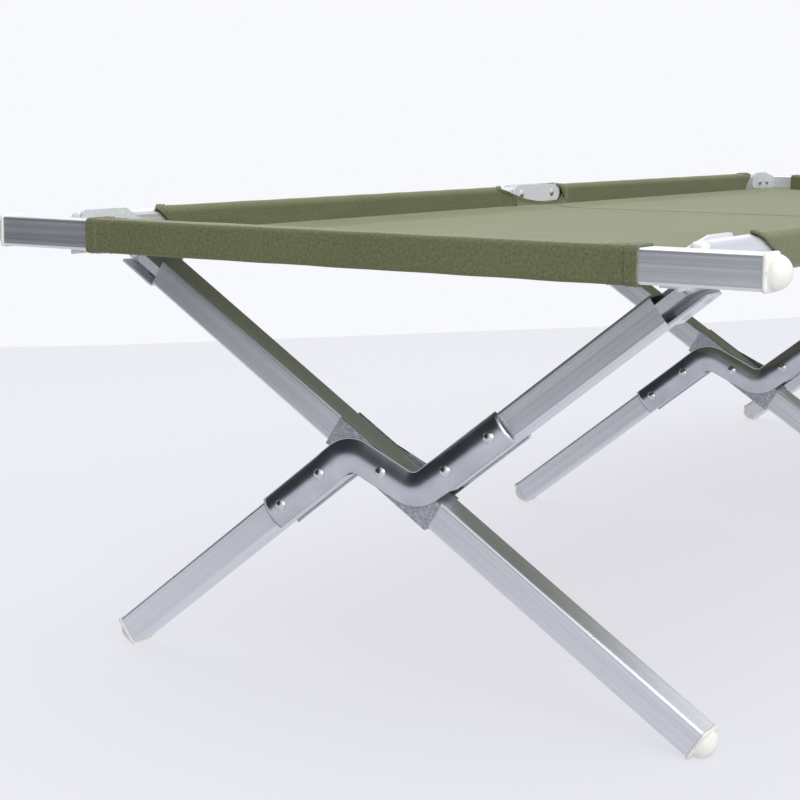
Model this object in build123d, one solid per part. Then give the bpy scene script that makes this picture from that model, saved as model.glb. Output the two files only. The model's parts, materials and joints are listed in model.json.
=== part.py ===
"""Folding camp cot: two hinged side rails, two end bars, three scissor leg frames and a sewn cover.

X runs across the bed, Y along it from the front end bar to the back one, Z up from the floor.
Every leg frame has a straight leg (A, top at the left rail) and a cranked leg (B, top at the right rail).
"""
import os
from math import asin, atan2, cos, degrees, hypot, radians, sin, sqrt, tan

from build123d import *

# Overall sizes, in millimetres
BED_LENGTH = 1888.0           # front face of one end bar to the far face of the other
RAIL_SPACING = 640.0          # between the rails' centre lines
RAIL_TOP = 438.0              # above the floor
END_BAR_LENGTH = 770.0        # bare tube, without its caps
END_BAR_DROP = 4.9            # top of the end bar below the top of the rail
END_FRAME_INSET = 97.3        # end face of the bed to the middle of the first leg frame
PIVOT_HEIGHT = 212.0          # crossing of the legs above the floor

# Square tube of every bar and leg, and the flat tube of the rails, as high and half as wide
TUBE = 28.6
TUBE_WALL = 1.6
TUBE_CORNER = 3.0
RAIL_WIDTH = 16.0
RAIL_CORNER = 6.0

# Clearances
FIT = 0.05                    # radial, pins and rivets in their holes
GAP = 0.3                     # between flat faces that slide past each other
RUN_GAP = 1.4                 # between faces that swing past each other

# Flanged and domed end caps
CAP_LIP = 1.2                 # flange beyond the tube's faces
CAP_FLANGE = 3.5
CAP_DOME = 11.5
CAP_DOME_RADIUS = 13.6
PLUG_NOSE = 8.5               # nose of the rails' plugs, behind the end bars
PLUG_ROUND = 5.0
CAP_SPIGOT = 16.0             # length inside the tube
CAP_SPIGOT_FIT = 0.1
FOOT_FLAT = 0.8               # depth of the flat worn on a foot cap

# Domed rivets
RIVET_RADIUS = 3.5
RIVET_HEAD_RADIUS = 5.5
RIVET_HEAD = 2.6
RIVET_TAIL = 1.2              # blind end beyond the last wall

# Rail hinge at mid length
HINGE_Y = 8.0                 # middle of the hinge and of the gap, behind the middle of the bed
RAIL_GAP = 6.0                # between the halves of a rail
HINGE_PITCH = 87.0            # between the two pins
HINGE_PIN_DROP = 9.0          # pins below the top of the rail
HINGE_PIN_RADIUS = 4.0
HINGE_SHEET = 2.0
HINGE_PLATE_HEIGHT = 23.0
HINGE_PLATE_RISE = 3.0        # top edge of the plate above the rail
HINGE_PLATE_END = 12.0        # pin to the middle of the plate's round end

# Corner plate that carries the end bar
CORNER_SHEET = 2.5
CORNER_PLATE_RISE = 2.4       # top edge above the rail
CORNER_PLATE_LIFT = 4.0       # bottom edge above the rail's lower face
CORNER_PLATE_LENGTH = 94.0    # along the rail
CORNER_PLATE_ROUND = 5.0
CORNER_SLOPE_RUN = 30.0       # sloping end of the top edge, where it is the inner one
CORNER_FRONT_RUN = 46.0       # sloping end of the top edge, where it is at the bar
CORNER_SLOPE_DROP = 16.0
CORNER_FRONT_DROP = 8.5
CORNER_TAB = 5.0              # depth of the tab under the bar
CORNER_TAB_STEP = 16.0        # run of the sloping edge between tab and plate
CORNER_TAB_FRONT = 15.0       # tab behind the bar's outer face
LEDGE_WIDTH = 16.0            # ledge across the bar
CORNER_RIVET_MARGIN = 4.5     # plug's inner end to the first rivet
CORNER_RIVET_PITCH = 34.0

# Leg hangers under the rails and the leg-top brackets on them
LEG_PIN_DROP = 10.4           # pin below the rail
LEG_PIN_INSET = 27.0          # pin inside the rail's centre line
LEG_PIN_RADIUS = 3.0
LEG_EYE_RADIUS = 7.0
HANGER_SHEET = 2.5
HANGER_GAP = 0.4              # each side of a lug
HANGER_RIVET_PITCH = 15.0
RAIL_END_MARGIN = 1.4         # middle hanger to the end of the rail half
BRACKET_SHEET = 2.0
BRACKET_LENGTH = 36.0         # leg tube's end to the pin
BRACKET_TONGUE = 25.0         # length inside the leg tube
BRACKET_TONGUE_FIT = 0.1
BRACKET_STRAP = 9.6           # width of the strap between the tube and the eye
BRACKET_RIVET_FIRST = 13.0    # leg tube's end to the first rivet
BRACKET_RIVET_PITCH = 23.5
COVER_ROOM = 3.6              # kept under the rail for the cover

# Cranked leg
FOLD_GAP = 4.4                # between the legs when they lie side by side
SADDLE_SHEET = 2.0
SADDLE_LENGTH = 128.0
LINK_WIDTH = 32.5
LINK_REACH = 132.0            # crossing to the end of a link, along its arm
LINK_BEND = 18.0              # crossing to a bend of the link's middle line
LINK_STAND = 2.6              # link's rim above the legs' faces
LINK_DEPTH = 3.6
LINK_SHEET = 2.0
LINK_INNER_BEND = 10.0        # radius inside a bend of the link's outline
LINK_END_ROUND = 7.0
LINK_EDGE_ROUND = 2.4
LINK_BOSS_RADIUS = 8.5
LINK_RIVET_NEAR = 58.8        # rivet stations from the crossing, along an arm
LINK_RIVET_FAR = 114.5
CRANK_TUBE_START = 42.0       # crossing to the inner end of each half of the cranked leg

# Cover
CLOTH = 1.2
CLOTH_GAP = 0.3
CLOTH_LAYER_GAP = 0.4
SIDE_SLEEVE_INSET = 153.0     # end of the bed to the start of a side sleeve
SIDE_SLEEVE_HINGE = 70.0      # rail hinge to the end of a side sleeve
END_SLEEVE_ROOM = 2.0         # end sleeve to the leg hangers, across the bed
END_TONGUE = 45.0             # end sleeve's flap under the sheet
SHEET_EDGE_GAP = 0.5          # sheet to the side sleeves

# Levels
RAIL_BOTTOM = RAIL_TOP - TUBE
RAIL_MIDDLE = RAIL_TOP - TUBE / 2
BAR_TOP = RAIL_TOP - END_BAR_DROP
BAR_MIDDLE = BAR_TOP - TUBE / 2
HINGE_PIN_Z = RAIL_TOP - HINGE_PIN_DROP
LEG_PIN_Z = RAIL_BOTTOM - LEG_PIN_DROP
SHEET_TOP = RAIL_BOTTOM + CLOTH_GAP
BAND_TOP = SHEET_TOP - CLOTH - CLOTH_LAYER_GAP

# Places along and across the bed
BED_END = BED_LENGTH / 2
HALF_SPACING = RAIL_SPACING / 2
RAIL_END = BED_END - TUBE - CLOTH_LAYER_GAP - PLUG_NOSE - CAP_FLANGE
LEG_PIN_X = HALF_SPACING - LEG_PIN_INSET
HANGER_HALF = TUBE / 2 - HANGER_GAP
END_SLEEVE_HALF = LEG_PIN_X - LEG_EYE_RADIUS - END_SLEEVE_ROOM
FRAME_FRONT_Y = END_FRAME_INSET - BED_END
FRAME_BACK_Y = BED_END - END_FRAME_INSET
FRAME_MIDDLE_Y = HINGE_Y - RAIL_GAP / 2 - RAIL_END_MARGIN - HANGER_HALF

# Scissor: both legs turn on the crossing, and both leg pins lie at the same distance from it
LEG_RISE = LEG_PIN_Z - PIVOT_HEIGHT
LEG_REACH = hypot(LEG_PIN_X, LEG_RISE)
CRANK_OFFSET = TUBE + SADDLE_SHEET + FOLD_GAP
A_ANGLE = degrees(atan2(LEG_RISE, LEG_PIN_X))
B_ANGLE = A_ANGLE + degrees(asin(CRANK_OFFSET / LEG_REACH))
B_PIN_STATION = sqrt(LEG_REACH ** 2 - CRANK_OFFSET ** 2)
A_DOWN = Vector(cos(radians(A_ANGLE)), 0, -sin(radians(A_ANGLE)))
B_UP = Vector(cos(radians(B_ANGLE)), 0, sin(radians(B_ANGLE)))
B_SIDE = Vector(-sin(radians(B_ANGLE)), 0, cos(radians(B_ANGLE)))

# Feet: the flange's lower edge, less the worn flat, stands on the floor
CAP_HALF = TUBE / 2 + CAP_LIP
FOOT_DROP = PIVOT_HEIGHT + FOOT_FLAT
A_FOOT = (FOOT_DROP - CAP_HALF * cos(radians(A_ANGLE))) / sin(radians(A_ANGLE)) - CAP_FLANGE
B_FOOT = (FOOT_DROP + (CRANK_OFFSET - CAP_HALF) * cos(radians(B_ANGLE))) / sin(radians(B_ANGLE)) - CAP_FLANGE
A_TOP = LEG_REACH - BRACKET_LENGTH
B_TOP = B_PIN_STATION - BRACKET_LENGTH

ALONG_Y = Vector(0, 1, 0)
ACROSS_X = Vector(1, 0, 0)
TUBE_BORE = TUBE - 2 * TUBE_WALL
LEFT, RIGHT = -1, 1
FRONT, BACK = -1, 1


def block(x, y, z):
    """A box between the two ends given on each axis, in either order."""
    size = [abs(span[1] - span[0]) for span in (x, y, z)]
    middle = [(span[0] + span[1]) / 2 for span in (x, y, z)]
    return Pos(*middle) * Box(*size)


def rod(start, end, radius):
    """A round bar between two points."""
    start, end = Vector(start), Vector(end)
    plane = Plane(origin=start, z_dir=end - start)
    return plane * extrude(Circle(radius), (end - start).length)


def tube_between(start, end, width=TUBE, corner=TUBE_CORNER):
    """A length of tube between two points, with one pair of faces square to X or Y."""
    start, end = Vector(start), Vector(end)
    run = end - start
    side = ACROSS_X if abs(run.Y) > TUBE else ALONG_Y
    section = RectangleRounded(width, TUBE, corner)
    section -= RectangleRounded(width - 2 * TUBE_WALL, TUBE_BORE, corner - TUBE_WALL)
    return Plane(origin=start, x_dir=side, z_dir=run) * extrude(section, run.length)


def dome(radius, height):
    """A spherical cap that stands on the plane z = 0."""
    ball = (radius ** 2 + height ** 2) / (2 * height)
    return (Pos(0, 0, height - ball) * Sphere(ball)) & block((-ball, ball), (-ball, ball), (0, height))


def rivet(start, end, heads=2):
    """A rivet whose shank runs from start to end, with a domed head beyond start and perhaps beyond end."""
    start, end = Vector(start), Vector(end)
    head = dome(RIVET_HEAD_RADIUS, RIVET_HEAD)
    solid = rod(start, end, RIVET_RADIUS)
    solid += Plane(origin=start, z_dir=start - end) * head
    if heads == 2:
        solid += Plane(origin=end, z_dir=end - start) * head
    return solid


def cap_base(width, corner, lip):
    """A cap's spigot in the bore of a tube and its flange on the tube's end, which lies at z = 0."""
    inset = TUBE_WALL + CAP_SPIGOT_FIT
    spigot = RectangleRounded(width - 2 * inset, TUBE - 2 * inset, corner - TUBE_WALL)
    base = Pos(0, 0, -CAP_SPIGOT) * extrude(spigot, CAP_SPIGOT)
    return base + extrude(RectangleRounded(width + 2 * lip, TUBE + 2 * lip, corner + lip), CAP_FLANGE)


def end_cap(end, outward):
    """A cap on a square tube's end, with a flange that stands out and a round dome."""
    cap = cap_base(TUBE, TUBE_CORNER, CAP_LIP)
    cap += Pos(0, 0, CAP_FLANGE) * dome(CAP_DOME_RADIUS, CAP_DOME)
    return Plane(origin=Vector(end), x_dir=ALONG_Y, z_dir=Vector(outward)) * cap


def drill(solid, holes):
    """The solid with round holes through it, each given as start, end and the radius of its pin."""
    for start, end, radius in holes:
        solid -= rod(start, end, radius + FIT)
    return solid


# Side rails

def rail_span(end):
    """The two ends of a rail half along Y, the outer one first."""
    return end * RAIL_END, HINGE_Y + end * RAIL_GAP / 2


def hinge_pin_y(end):
    return HINGE_Y + end * HINGE_PITCH / 2


def hanger_places(end):
    """The leg frames that hang from one half of a rail."""
    return [FRAME_FRONT_Y, FRAME_MIDDLE_Y] if end == FRONT else [FRAME_BACK_Y]


def hinge_pin_ends(side, end):
    half = RAIL_WIDTH / 2 + GAP + HINGE_SHEET
    x, y = side * HALF_SPACING, hinge_pin_y(end)
    return Vector(x - half, y, HINGE_PIN_Z), Vector(x + half, y, HINGE_PIN_Z)


def rail_rivet_ends(side, end):
    """Shank ends of the rivets of one rail half, the headed end first."""
    places = []
    inner = side * (HALF_SPACING - RAIL_WIDTH / 2)
    first = RAIL_END - CAP_SPIGOT - CORNER_RIVET_MARGIN - RIVET_RADIUS
    for setback in (first, first - CORNER_RIVET_PITCH):
        head = Vector(inner - side * CORNER_SHEET, end * setback, RAIL_MIDDLE)
        tail = Vector(inner + side * (TUBE_WALL + RIVET_TAIL), end * setback, RAIL_MIDDLE)
        places.append((head, tail))
    for frame_y in hanger_places(end):
        for step in (-HANGER_RIVET_PITCH / 2, HANGER_RIVET_PITCH / 2):
            x = side * HALF_SPACING
            head = Vector(x, frame_y + step, RAIL_BOTTOM - HANGER_SHEET)
            tail = Vector(x, frame_y + step, RAIL_BOTTOM + TUBE_WALL + RIVET_TAIL)
            places.append((head, tail))
    return places


def rivet_holes(places):
    return [(head, tail, RIVET_RADIUS) for head, tail in places]


def rail(side, end):
    outer, inner = rail_span(end)
    x = side * HALF_SPACING
    tube = tube_between((x, outer, RAIL_MIDDLE), (x, inner, RAIL_MIDDLE), RAIL_WIDTH, RAIL_CORNER)
    pin_start, pin_end = hinge_pin_ends(side, end)
    return drill(tube, rivet_holes(rail_rivet_ends(side, end)) + [(pin_start, pin_end, HINGE_PIN_RADIUS)])


def rail_plug(side, end):
    """A cap flush with the rail's faces, with a nose that is round all along its edge."""
    nose = extrude(RectangleRounded(RAIL_WIDTH, TUBE, RAIL_CORNER), CAP_FLANGE + PLUG_NOSE)
    nose = fillet(nose.faces().sort_by(Axis.Z)[-1].edges(), PLUG_ROUND)
    plug = cap_base(RAIL_WIDTH, RAIL_CORNER, 0.0) + nose
    end_point = (side * HALF_SPACING, end * RAIL_END, RAIL_MIDDLE)
    return Plane(origin=end_point, x_dir=ACROSS_X, z_dir=(0, end, 0)) * plug


def corner_plate(side, end):
    """A plate on the rail's inner face, with a tab that drops under the end bar and a ledge bent from it.

    Its top edge stands over the rail and slopes down at one end: at the back on the left rail, at the front on
    the right one, as two plates of one pattern do.
    """
    ledge_top = BAR_TOP - TUBE - GAP
    plate_top = RAIL_TOP + CORNER_PLATE_RISE
    plate_bottom = RAIL_BOTTOM + CORNER_PLATE_LIFT
    tab_bottom = ledge_top - CORNER_TAB
    behind_bar = BED_END - TUBE - CLOTH_LAYER_GAP
    tab_front = BED_END - CORNER_TAB_FRONT
    far_end = behind_bar - CORNER_PLATE_LENGTH
    if side * end > 0:
        far_top = plate_top - CORNER_SLOPE_DROP
        top_edge = [(behind_bar, plate_top), (far_end + CORNER_SLOPE_RUN, plate_top), (far_end, far_top)]
    else:
        front_top = plate_top - CORNER_FRONT_DROP
        top_edge = [(behind_bar, front_top), (behind_bar - CORNER_FRONT_RUN, plate_top), (far_end, plate_top)]
    outline = [(behind_bar, ledge_top), *top_edge, (far_end, plate_bottom)]
    outline += [(RAIL_END - CORNER_TAB_STEP, plate_bottom), (RAIL_END, tab_bottom)]
    outline += [(tab_front, tab_bottom), (tab_front, ledge_top)]
    profile = make_face(Polyline(*[(end * y, z) for y, z in outline], close=True))
    rounded = top_edge + [(far_end, plate_bottom)]
    corners = [v for v in profile.vertices() if any(hypot(end * v.X - y, v.Y - z) < GAP for y, z in rounded)]
    profile = fillet(corners, CORNER_PLATE_ROUND)
    inner = side * (HALF_SPACING - RAIL_WIDTH / 2)
    plate = Plane(origin=(inner, 0, 0), x_dir=(0, 1, 0), z_dir=(1, 0, 0)) * extrude(profile, -side * CORNER_SHEET)
    ledge_y = (end * tab_front, end * RAIL_END)
    plate += block((inner, inner - side * LEDGE_WIDTH), ledge_y, (ledge_top - CORNER_SHEET, ledge_top))
    return drill(plate, rivet_holes(rail_rivet_ends(side, end)))


def leg_hanger(side, end, frame_y):
    """A base plate under the rail with two lugs for the leg pin."""
    pin_x = side * LEG_PIN_X
    outer = side * (HALF_SPACING + RAIL_WIDTH / 2 - GAP)
    inner = pin_x - side * LEG_EYE_RADIUS
    base_y = (frame_y - HANGER_HALF, frame_y + HANGER_HALF)
    hanger = block((inner, outer), base_y, (RAIL_BOTTOM - HANGER_SHEET, RAIL_BOTTOM))
    for face in (-HANGER_HALF, HANGER_HALF - HANGER_SHEET):
        lug_y = (frame_y + face, frame_y + face + HANGER_SHEET)
        hanger += block((inner, pin_x + side * LEG_EYE_RADIUS), lug_y, (LEG_PIN_Z, RAIL_BOTTOM - HANGER_SHEET))
        hanger += rod((pin_x, lug_y[0], LEG_PIN_Z), (pin_x, lug_y[1], LEG_PIN_Z), LEG_EYE_RADIUS)
    pin_hole = [(*leg_pin_ends(side, frame_y), LEG_PIN_RADIUS)]
    return drill(hanger, rivet_holes(rail_rivet_ends(side, end)) + pin_hole)


def leg_pin_ends(side, frame_y):
    x = side * LEG_PIN_X
    return Vector(x, frame_y - HANGER_HALF, LEG_PIN_Z), Vector(x, frame_y + HANGER_HALF, LEG_PIN_Z)


def leg_pin(side, frame_y):
    """The hinge pin of a leg top, with its head at the front."""
    start, end = leg_pin_ends(side, frame_y)
    head = Plane(origin=start, z_dir=start - end) * dome(RIVET_HEAD_RADIUS, RIVET_HEAD)
    return rod(start, end, LEG_PIN_RADIUS) + head


def hinge_plate(side, face):
    """One plate of a rail hinge, with round ends, on the rail's face at +X or -X."""
    reach = HINGE_PITCH / 2 + HINGE_PLATE_END
    middle_z = RAIL_TOP + HINGE_PLATE_RISE - HINGE_PLATE_HEIGHT / 2
    start = side * HALF_SPACING + face * (RAIL_WIDTH / 2 + GAP)
    outline = SlotCenterToCenter(2 * reach, HINGE_PLATE_HEIGHT)
    plane = Plane(origin=(start, HINGE_Y, middle_z), x_dir=(0, 1, 0), z_dir=(face, 0, 0))
    plate = plane * extrude(outline, HINGE_SHEET)
    return drill(plate, [(*hinge_pin_ends(side, end), HINGE_PIN_RADIUS) for end in (FRONT, BACK)])


def hinge_pin(side, end):
    start, stop = hinge_pin_ends(side, end)
    head = dome(RIVET_HEAD_RADIUS, RIVET_HEAD)
    pin = rod(start, stop, HINGE_PIN_RADIUS)
    pin += Plane(origin=start, z_dir=start - stop) * head
    return pin + Plane(origin=stop, z_dir=stop - start) * head


# End bars

def end_bar(end):
    y = end * (BED_END - TUBE / 2)
    half = END_BAR_LENGTH / 2
    return tube_between((-half, y, BAR_MIDDLE), (half, y, BAR_MIDDLE))


def end_bar_cap(side, end):
    y = end * (BED_END - TUBE / 2)
    return end_cap((side * END_BAR_LENGTH / 2, y, BAR_MIDDLE), (side, 0, 0))


# Leg frames

def crossing(frame_y):
    return Vector(0, frame_y, PIVOT_HEIGHT)


def a_point(frame_y, station):
    """A point on the straight leg's middle line, measured down from the crossing."""
    return crossing(frame_y) + A_DOWN * station


def b_point(frame_y, station):
    """A point on the cranked leg's middle lines: the upper half at stations over 0, the lower half under 0."""
    shift = -CRANK_OFFSET if station > 0 else CRANK_OFFSET
    return crossing(frame_y) + B_UP * station + B_SIDE * shift


def link_face():
    """Distance from the legs' mid plane to the outer face of a link."""
    return TUBE / 2 + LINK_STAND + LINK_DEPTH


def link_rivet_ends(frame_y):
    """Shank ends of the five rivets of a frame, the crossing's pivot first."""
    depth = ALONG_Y * link_face()
    middles = [crossing(frame_y)]
    for station in (LINK_RIVET_NEAR, LINK_RIVET_FAR):
        middles += [b_point(frame_y, station), b_point(frame_y, -station)]
    return [(middle - depth, middle + depth) for middle in middles]


def straight_leg(frame_y):
    tube = tube_between(a_point(frame_y, -A_TOP), a_point(frame_y, A_FOOT))
    return drill(tube, rivet_holes(link_rivet_ends(frame_y)[:1]))


def saddle(frame_y):
    """A U of sheet round the front, lower left and back faces of the straight leg at the crossing."""
    half = TUBE / 2
    outer = half + SADDLE_SHEET
    length = (-SADDLE_LENGTH / 2, SADDLE_LENGTH / 2)
    u_shape = block(length, (-outer, outer), (-outer, half))
    u_shape -= block(length, (-half, half), (-half, half))
    plane = Plane(origin=crossing(frame_y), x_dir=A_DOWN, z_dir=A_DOWN.cross(ALONG_Y))
    return drill(plane * u_shape, rivet_holes(link_rivet_ends(frame_y)[:1]))


def crank_tube(frame_y, half):
    """The lower half (-1) or the upper half (1) of the cranked leg."""
    reach = B_TOP if half > 0 else B_FOOT
    tube = tube_between(b_point(frame_y, half * CRANK_TUBE_START), b_point(frame_y, half * reach))
    return drill(tube, rivet_holes(link_rivet_ends(frame_y)[1:]))


def link_outline():
    """Z-shaped outline of a link on the cranked leg's own axes, with its bends and ends rounded."""
    half = LINK_WIDTH / 2
    bend = Vector(2 * LINK_BEND, -2 * CRANK_OFFSET, 0).normalized()
    # where an arm's two edges meet the edges of the sloping middle stretch
    turn = tan(atan2(-bend.Y, bend.X) / 2) * half
    outer_bend = (LINK_BEND - turn, -CRANK_OFFSET - half)
    inner_bend = (LINK_BEND + turn, -CRANK_OFFSET + half)
    upper = [outer_bend, (LINK_REACH, outer_bend[1]), (LINK_REACH, inner_bend[1]), inner_bend]
    lower = [(-x, -y) for x, y in upper]
    face = make_face(Polyline(*upper, *lower, close=True))
    for radius, places in (
        (LINK_INNER_BEND + LINK_WIDTH, (upper[0], lower[0])),
        (LINK_INNER_BEND, (upper[3], lower[3])),
        (LINK_END_ROUND, (upper[1], upper[2], lower[1], lower[2])),
    ):
        chosen = [v for v in face.vertices() if any((v.center() - Vector(*p)).length < GAP for p in places)]
        face = fillet(chosen, radius)
    return face


def crank_link(frame_y, face):
    """A pressed link on the front (-1) or the back (1) of the frame: a shallow pan with a boss at each rivet."""
    outline = link_outline()
    base = TUBE / 2 + LINK_STAND
    pan = Pos(0, 0, base) * extrude(outline, LINK_DEPTH)
    pan = fillet(pan.faces().sort_by(Axis.Z)[-1].edges(), LINK_EDGE_ROUND)
    pan -= Pos(0, 0, base) * extrude(offset(outline, -LINK_SHEET), LINK_DEPTH - LINK_SHEET)
    stations = [(s, -CRANK_OFFSET) for s in (LINK_RIVET_NEAR, LINK_RIVET_FAR)]
    stations += [(-s, CRANK_OFFSET) for s in (LINK_RIVET_NEAR, LINK_RIVET_FAR)]
    boss_top = base + LINK_DEPTH - LINK_SHEET / 2
    for x, y in stations:
        pan += rod((x, y, TUBE / 2), (x, y, boss_top), LINK_BOSS_RADIUS)
    pan += rod((0, 0, TUBE / 2 + SADDLE_SHEET + GAP), (0, 0, boss_top), LINK_BOSS_RADIUS)
    for x, y in stations + [(0, 0)]:
        pan -= rod((x, y, 0), (x, y, base + 2 * LINK_DEPTH), RIVET_RADIUS + FIT)
    if face == BACK:
        pan = mirror(pan, Plane.XY)
    return Plane(origin=crossing(frame_y), x_dir=B_UP, z_dir=-ALONG_Y) * pan


def leg_top_plane(frame_y, side):
    """Local axes of a leg-top bracket at its pin: x along the leg towards the pin, z to the outer, lower side."""
    along = -A_DOWN if side == LEFT else B_UP
    outer = along.cross(ALONG_Y) * -side
    return Plane(origin=(side * LEG_PIN_X, frame_y, LEG_PIN_Z), x_dir=along, z_dir=outer)


def leg_top_bracket(frame_y, side):
    """A strap from a tongue in the leg tube to a hinge eye on the pin, with a web behind it and an outer flange."""
    back = -side
    half = TUBE / 2
    outer = half + BRACKET_SHEET
    lean = radians(A_ANGLE)
    upper_stop = (half * cos(lean) - LEG_PIN_DROP + COVER_ROOM) / sin(lean)
    lower_reach = LEG_PIN_DROP - HANGER_SHEET - RUN_GAP
    web = [
        (-BRACKET_LENGTH, -half), (-upper_stop, -half), (0, -LEG_EYE_RADIUS),
        (lower_reach, 0), (lower_reach, outer), (-BRACKET_LENGTH, outer),
    ]
    web_plane = Plane(origin=(0, back * half, 0), x_dir=(1, 0, 0), z_dir=(0, -1, 0))
    solid = web_plane * extrude(make_face(Polyline(*web, close=True)), -back * BRACKET_SHEET)
    solid += block((-BRACKET_LENGTH, lower_reach), (-back * half, back * outer), (half, outer))
    strap = (-BRACKET_STRAP / 2, BRACKET_STRAP / 2)
    tongue = TUBE_BORE / 2 - BRACKET_TONGUE_FIT
    solid += block((-BRACKET_LENGTH - BRACKET_TONGUE, -BRACKET_LENGTH), (-tongue, tongue), strap)
    solid += block((-BRACKET_LENGTH, -LEG_EYE_RADIUS - RUN_GAP), (-half, half), strap)
    eye_half = HANGER_HALF - HANGER_SHEET - HANGER_GAP
    solid += block((-LEG_EYE_RADIUS - RUN_GAP, 0), (-eye_half, eye_half), strap)
    solid += rod((0, -eye_half, 0), (0, eye_half, 0), LEG_EYE_RADIUS)
    solid -= rod((0, -back * outer, 0), (0, back * half, 0), LEG_PIN_RADIUS + FIT)
    for start, end in bracket_rivet_ends():
        solid -= rod(start, end, RIVET_RADIUS + FIT)
    return leg_top_plane(frame_y, side) * solid


def bracket_rivet_ends():
    """Shank ends of a bracket's two rivets on its own axes, the headed end first."""
    outer = TUBE / 2 + BRACKET_SHEET
    inner = TUBE / 2 - RIVET_TAIL
    stations = (BRACKET_RIVET_FIRST, BRACKET_RIVET_FIRST + BRACKET_RIVET_PITCH)
    return [((s - BRACKET_LENGTH, 0, outer), (s - BRACKET_LENGTH, 0, inner)) for s in stations]


def bracket_rivets(frame_y, side):
    plane = leg_top_plane(frame_y, side)
    return [plane * rivet(start, end, heads=1) for start, end in bracket_rivet_ends()]


def foot_cap(end, outward):
    """An end cap worn flat where it stands on the floor."""
    reach = 2 * CAP_HALF
    below = block((end.X - reach, end.X + reach), (end.Y - reach, end.Y + reach), (-reach, 0))
    return end_cap(end, outward) - below


# Cover

def sleeve_section(width, corner):
    """A loop of cloth round a tube."""
    inside = CLOTH_GAP
    outside = CLOTH_GAP + CLOTH
    section = RectangleRounded(width + 2 * outside, TUBE + 2 * outside, corner + outside)
    return section - RectangleRounded(width + 2 * inside, TUBE + 2 * inside, corner + inside)


def side_sleeve(side, end):
    start = end * (BED_END - SIDE_SLEEVE_INSET)
    stop = HINGE_Y + end * SIDE_SLEEVE_HINGE
    plane = Plane(origin=(side * HALF_SPACING, start, RAIL_MIDDLE), x_dir=ACROSS_X, z_dir=(0, -end, 0))
    return plane * extrude(sleeve_section(RAIL_WIDTH, RAIL_CORNER), abs(start - stop))


def end_sleeve(end):
    """A loop round the end bar with a flap that lies under the sheet."""
    y = end * (BED_END - TUBE / 2)
    plane = Plane(origin=(-END_SLEEVE_HALF, y, BAR_MIDDLE), x_dir=ALONG_Y, z_dir=ACROSS_X)
    sleeve = plane * extrude(sleeve_section(TUBE, TUBE_CORNER), 2 * END_SLEEVE_HALF)
    seam = BED_END - TUBE - CLOTH_GAP - CLOTH / 2
    flap_y = (end * seam, end * (seam - END_TONGUE))
    return sleeve + block((-END_SLEEVE_HALF, END_SLEEVE_HALF), flap_y, (BAND_TOP - CLOTH, BAND_TOP))


def bed_sheet(end):
    """One half of the sheet, narrowed at the end bar and round the rail hinges."""
    narrow = END_SLEEVE_HALF
    wide = HALF_SPACING - RAIL_WIDTH / 2 - CLOTH_GAP - CLOTH - SHEET_EDGE_GAP
    slope = wide - narrow
    outer = end * (BED_END - TUBE - CLOTH_GAP - CLOTH - CLOTH_LAYER_GAP)
    sleeve_start = end * (BED_END - SIDE_SLEEVE_INSET)
    sleeve_stop = HINGE_Y + end * SIDE_SLEEVE_HINGE
    folded_band = HINGE_PITCH / 2 - (HINGE_PIN_Z - BAND_TOP) + CLOTH_LAYER_GAP
    inner = HINGE_Y + end * folded_band
    edge = [
        (narrow, outer), (narrow, sleeve_start + end * slope), (wide, sleeve_start),
        (wide, sleeve_stop), (narrow, sleeve_stop - end * slope), (narrow, inner),
    ]
    outline = make_face(Polyline(*edge, *[(-x, y) for x, y in reversed(edge)], close=True))
    return Pos(0, 0, SHEET_TOP - CLOTH) * extrude(outline, CLOTH, dir=(0, 0, 1))


def seam_band():
    """A strip under the two halves of the sheet, wide enough to close the fold of the cover."""
    reach = HINGE_PITCH / 2 + HINGE_PIN_Z - SHEET_TOP + CLOTH / 2
    along = (HINGE_Y - reach, HINGE_Y + reach)
    return block((-END_SLEEVE_HALF, END_SLEEVE_HALF), along, (BAND_TOP - CLOTH, BAND_TOP))


# Nodes

def rail_nodes():
    nodes = {}
    for side, side_name in ((LEFT, "left"), (RIGHT, "right")):
        for end, end_name in ((FRONT, "front"), (BACK, "back")):
            name = f"{side_name}_{end_name}"
            nodes[f"rail_{name}"] = [rail(side, end)]
            nodes[f"rail_plug_{name}"] = [rail_plug(side, end)]
            nodes[f"corner_plate_{name}"] = [corner_plate(side, end)]
            places = hanger_places(end)
            hangers = [leg_hanger(side, end, y) for y in places]
            nodes[f"leg_hangers_{name}"] = hangers + [leg_pin(side, y) for y in places]
            nodes[f"rail_rivets_{name}"] = [rivet(*ends, heads=1) for ends in rail_rivet_ends(side, end)]
            nodes[f"side_sleeve_{name}"] = [side_sleeve(side, end)]
        nodes[f"rail_hinge_plates_{side_name}"] = [hinge_plate(side, face) for face in (-1, 1)]
        nodes[f"rail_hinge_pins_{side_name}"] = [hinge_pin(side, end) for end in (FRONT, BACK)]
    return nodes


def end_nodes():
    nodes = {"seam_band": [seam_band()]}
    for end, name in ((FRONT, "front"), (BACK, "back")):
        nodes[f"end_bar_{name}"] = [end_bar(end)]
        nodes[f"end_bar_caps_{name}"] = [end_bar_cap(side, end) for side in (LEFT, RIGHT)]
        nodes[f"end_sleeve_{name}"] = [end_sleeve(end)]
        nodes[f"bed_sheet_{name}"] = [bed_sheet(end)]
    return nodes


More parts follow.
